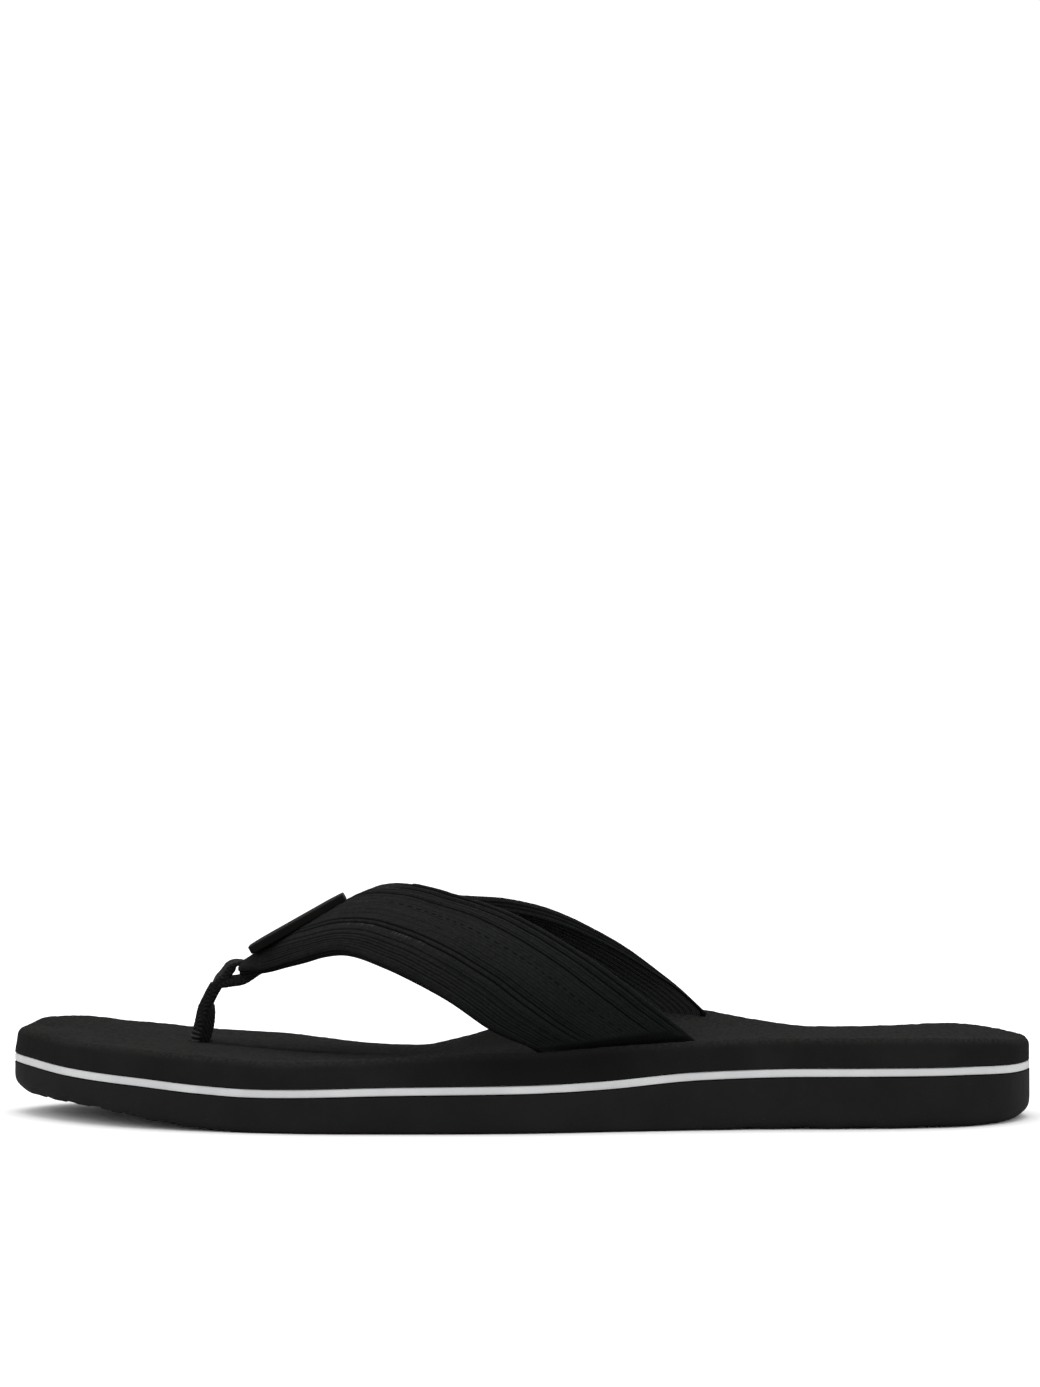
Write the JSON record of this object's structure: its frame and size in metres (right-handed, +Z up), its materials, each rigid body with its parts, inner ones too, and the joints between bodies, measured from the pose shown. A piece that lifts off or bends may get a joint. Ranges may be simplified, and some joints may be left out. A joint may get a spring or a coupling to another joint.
{
  "type": "flip flop",
  "caption": "Left-foot thong sandal with a layered foam sole, a wide padded textile strap and a woven tape toe post.",
  "frame": {"origin": "centre of the bounding box's underside, on the ground that the tread stands on", "axes": "+X from toe to heel, +Y towards the inner (arch) side of the foot, +Z up"},
  "size_m": [0.28, 0.101, 0.0638],
  "materials": {
    "outsole_foam": "black closed-cell foam, matte, shallow zigzag tread",
    "stripe_foam": "light grey closed-cell foam, matte",
    "footbed_foam": "black foam with a pebbled, slightly fuzzy top and smooth cut sides",
    "strap_textile": "black ribbed stretch textile with fine lengthwise ridges and rolled hems",
    "strap_padding": "thin dark foam sheet, not seen",
    "lining": "smooth black knit lining",
    "tape": "black woven tape with cross ridges",
    "anchor_rubber": "dense black rubber, not seen",
    "badge_rubber": "plain matte black moulded rubber plate"
  },
  "bodies": {
    "root": {"outsole": "outsole_foam", "midsole_stripe": "stripe_foam", "footbed": "footbed_foam", "lateral_strap_outer": "strap_textile", "lateral_strap_foam": "strap_padding", "lateral_strap_backing": "strap_textile", "medial_strap_outer": "strap_textile", "medial_strap_foam": "strap_padding", "medial_strap_backing": "strap_textile", "vamp_lining": "lining", "toe_post": "tape", "toe_post_anchor": "anchor_rubber", "badge": "badge_rubber"}
  },
  "joints": []
}
